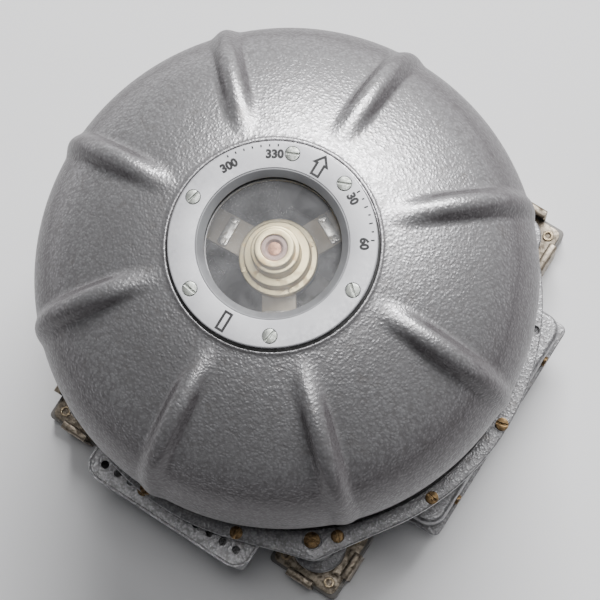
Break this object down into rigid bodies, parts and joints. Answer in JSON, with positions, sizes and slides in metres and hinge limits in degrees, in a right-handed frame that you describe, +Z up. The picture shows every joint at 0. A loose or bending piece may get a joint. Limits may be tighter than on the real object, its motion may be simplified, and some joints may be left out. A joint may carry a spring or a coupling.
{
  "type": "directional gyro unit",
  "caption": "Sealed gyro unit: ribbed hood with a window over a clamp ring, on a shock-isolated mounting frame. Two gimbals, a rotor and geared pick-offs turn inside.",
  "frame": {"origin": "centre of the mounting frame's four mounting holes, on its underside", "axes": "+Z up, +Y in the direction of flight that the window ring's arrow marks, +X to the right"},
  "size_m": [0.2655, 0.2725, 0.2368],
  "materials": {
    "base_hammertone": "hammertone paint on cast alloy",
    "bearing_steel": "polished",
    "bevel_grey": "satin grey",
    "black_paint": "black enamel",
    "black_plastic": "moulded",
    "brass_bright": "pale brass",
    "brass_old": "darkened brass",
    "bridge_beige": "primer beige",
    "brown_plastic": "phenolic",
    "cadmium": "dull cadmium plate",
    "cadmium_warm": "warm cadmium plate",
    "connector_metal": "plated alloy",
    "copper": "copper",
    "frame_paint": "grey paint",
    "gimbal_alloy": "oxidised alloy",
    "glass": "clear",
    "glass_grey": "sealed glass",
    "gold_contact": "gilt",
    "hood_hammertone": "glossy hammertone paint on cast alloy",
    "housing_alloy": "machined alloy",
    "loom_cloth": "lacquered braid",
    "ring_paint": "smooth satin grey",
    "rubber_black": "rubber",
    "rubber_brown": "aged rubber",
    "screw_steel": "dull steel",
    "steel": "turned steel"
  },
  "bodies": {
    "mount": {"mounting_frame": "frame_paint", "snubber_ears": "cadmium", "isolator_plates": "cadmium", "isolator_rivets": "cadmium_warm", "isolator_rubbers": "rubber_brown"},
    "unit": {"isolator_bushings": "steel", "isolator_bolts": "steel", "chassis": "base_hammertone", "bottom_cover": "base_hammertone", "bottom_cover_screws": "brass_old", "side_box": "base_hammertone", "side_box_screws": "brass_old", "relays": "black_plastic", "rear_panel": "base_hammertone", "rear_panel_screw": "brass_old", "receptacle_shells": "connector_metal", "receptacle_inserts": "brown_plastic", "receptacle_pins": "gold_contact", "receptacle_screws": "brass_old", "terminal_board": "brown_plastic", "cable_loom": "loom_cloth", "thermostat": "steel", "clamp_ring": "base_hammertone", "flange_screws": "brass_old", "lug_bolt": "brass_old", "hood_gasket": "rubber_black", "hood": "hood_hammertone", "window_ring": "ring_paint", "ring_screws": "screw_steel", "bevel_ring": "bevel_grey", "window_glass": "glass", "window_gasket": "rubber_black", "bridge": "bridge_beige", "pillars": "bridge_beige", "pillar_screws": "screw_steel", "arm_plate": "steel", "bearing_cap": "brass_bright", "cap_screws": "brass_bright", "cap_plug": "copper", "azimuth_bearings": "bearing_steel", "brush_block": "brown_plastic", "synchro_housing": "black_paint", "correction_motor_housing": "black_paint"},
    "outer_gimbal": {"outer_gimbal": "gimbal_alloy", "azimuth_bearing_inners": "bearing_steel", "slip_rings": "gold_contact", "azimuth_gear": "brass_bright", "trunnion_bearings": "bearing_steel", "levelling_motor_stator": "copper", "gimbal_weight": "brass_bright"},
    "inner_gimbal": {"rotor_housing": "housing_alloy", "housing_covers": "housing_alloy", "trunnions": "steel", "level_switch": "glass_grey", "spin_bearings": "bearing_steel", "spin_stator": "copper"},
    "rotor": {"rotor": "steel"},
    "synchro_rotor": {"synchro_rotor": "brass_bright"},
    "correction_motor_rotor": {"correction_motor_rotor": "brass_bright"}
  },
  "joints": [
    {"name": "suspension", "type": "slide", "parent": "mount", "child": "unit", "axis": [0, 0, 1], "range_m": [-0.003, 0.003], "stiffness_N_per_m": 40000, "springref_m": 0.0015, "deforming": ["isolator_rubbers"]},
    {"name": "azimuth", "type": "hinge", "parent": "unit", "child": "outer_gimbal", "pos_m": [0, 0, 0.115], "axis": [0, 0, 1], "continuous": true},
    {"name": "tilt", "type": "hinge", "parent": "outer_gimbal", "child": "inner_gimbal", "pos_m": [0, 0, 0.115], "axis": [1, 0, 0], "range_deg": [-85, 85]},
    {"name": "spin", "type": "hinge", "parent": "inner_gimbal", "child": "rotor", "pos_m": [0, 0, 0.115], "axis": [0, 1, 0], "continuous": true},
    {"name": "synchro_turn", "type": "hinge", "parent": "unit", "child": "synchro_rotor", "pos_m": [-0.031, 0.05369, 0.05], "axis": [0, 0, 1], "continuous": true},
    {"name": "correction_motor_turn", "type": "hinge", "parent": "unit", "child": "correction_motor_rotor", "pos_m": [0.0614, -0.00863, 0.05], "axis": [0, 0, 1], "continuous": true}
  ],
  "couplings": [
    {"joint": "synchro_turn", "follows": "azimuth", "ratio": -2.875},
    {"joint": "correction_motor_turn", "follows": "azimuth", "ratio": -2.875}
  ]
}
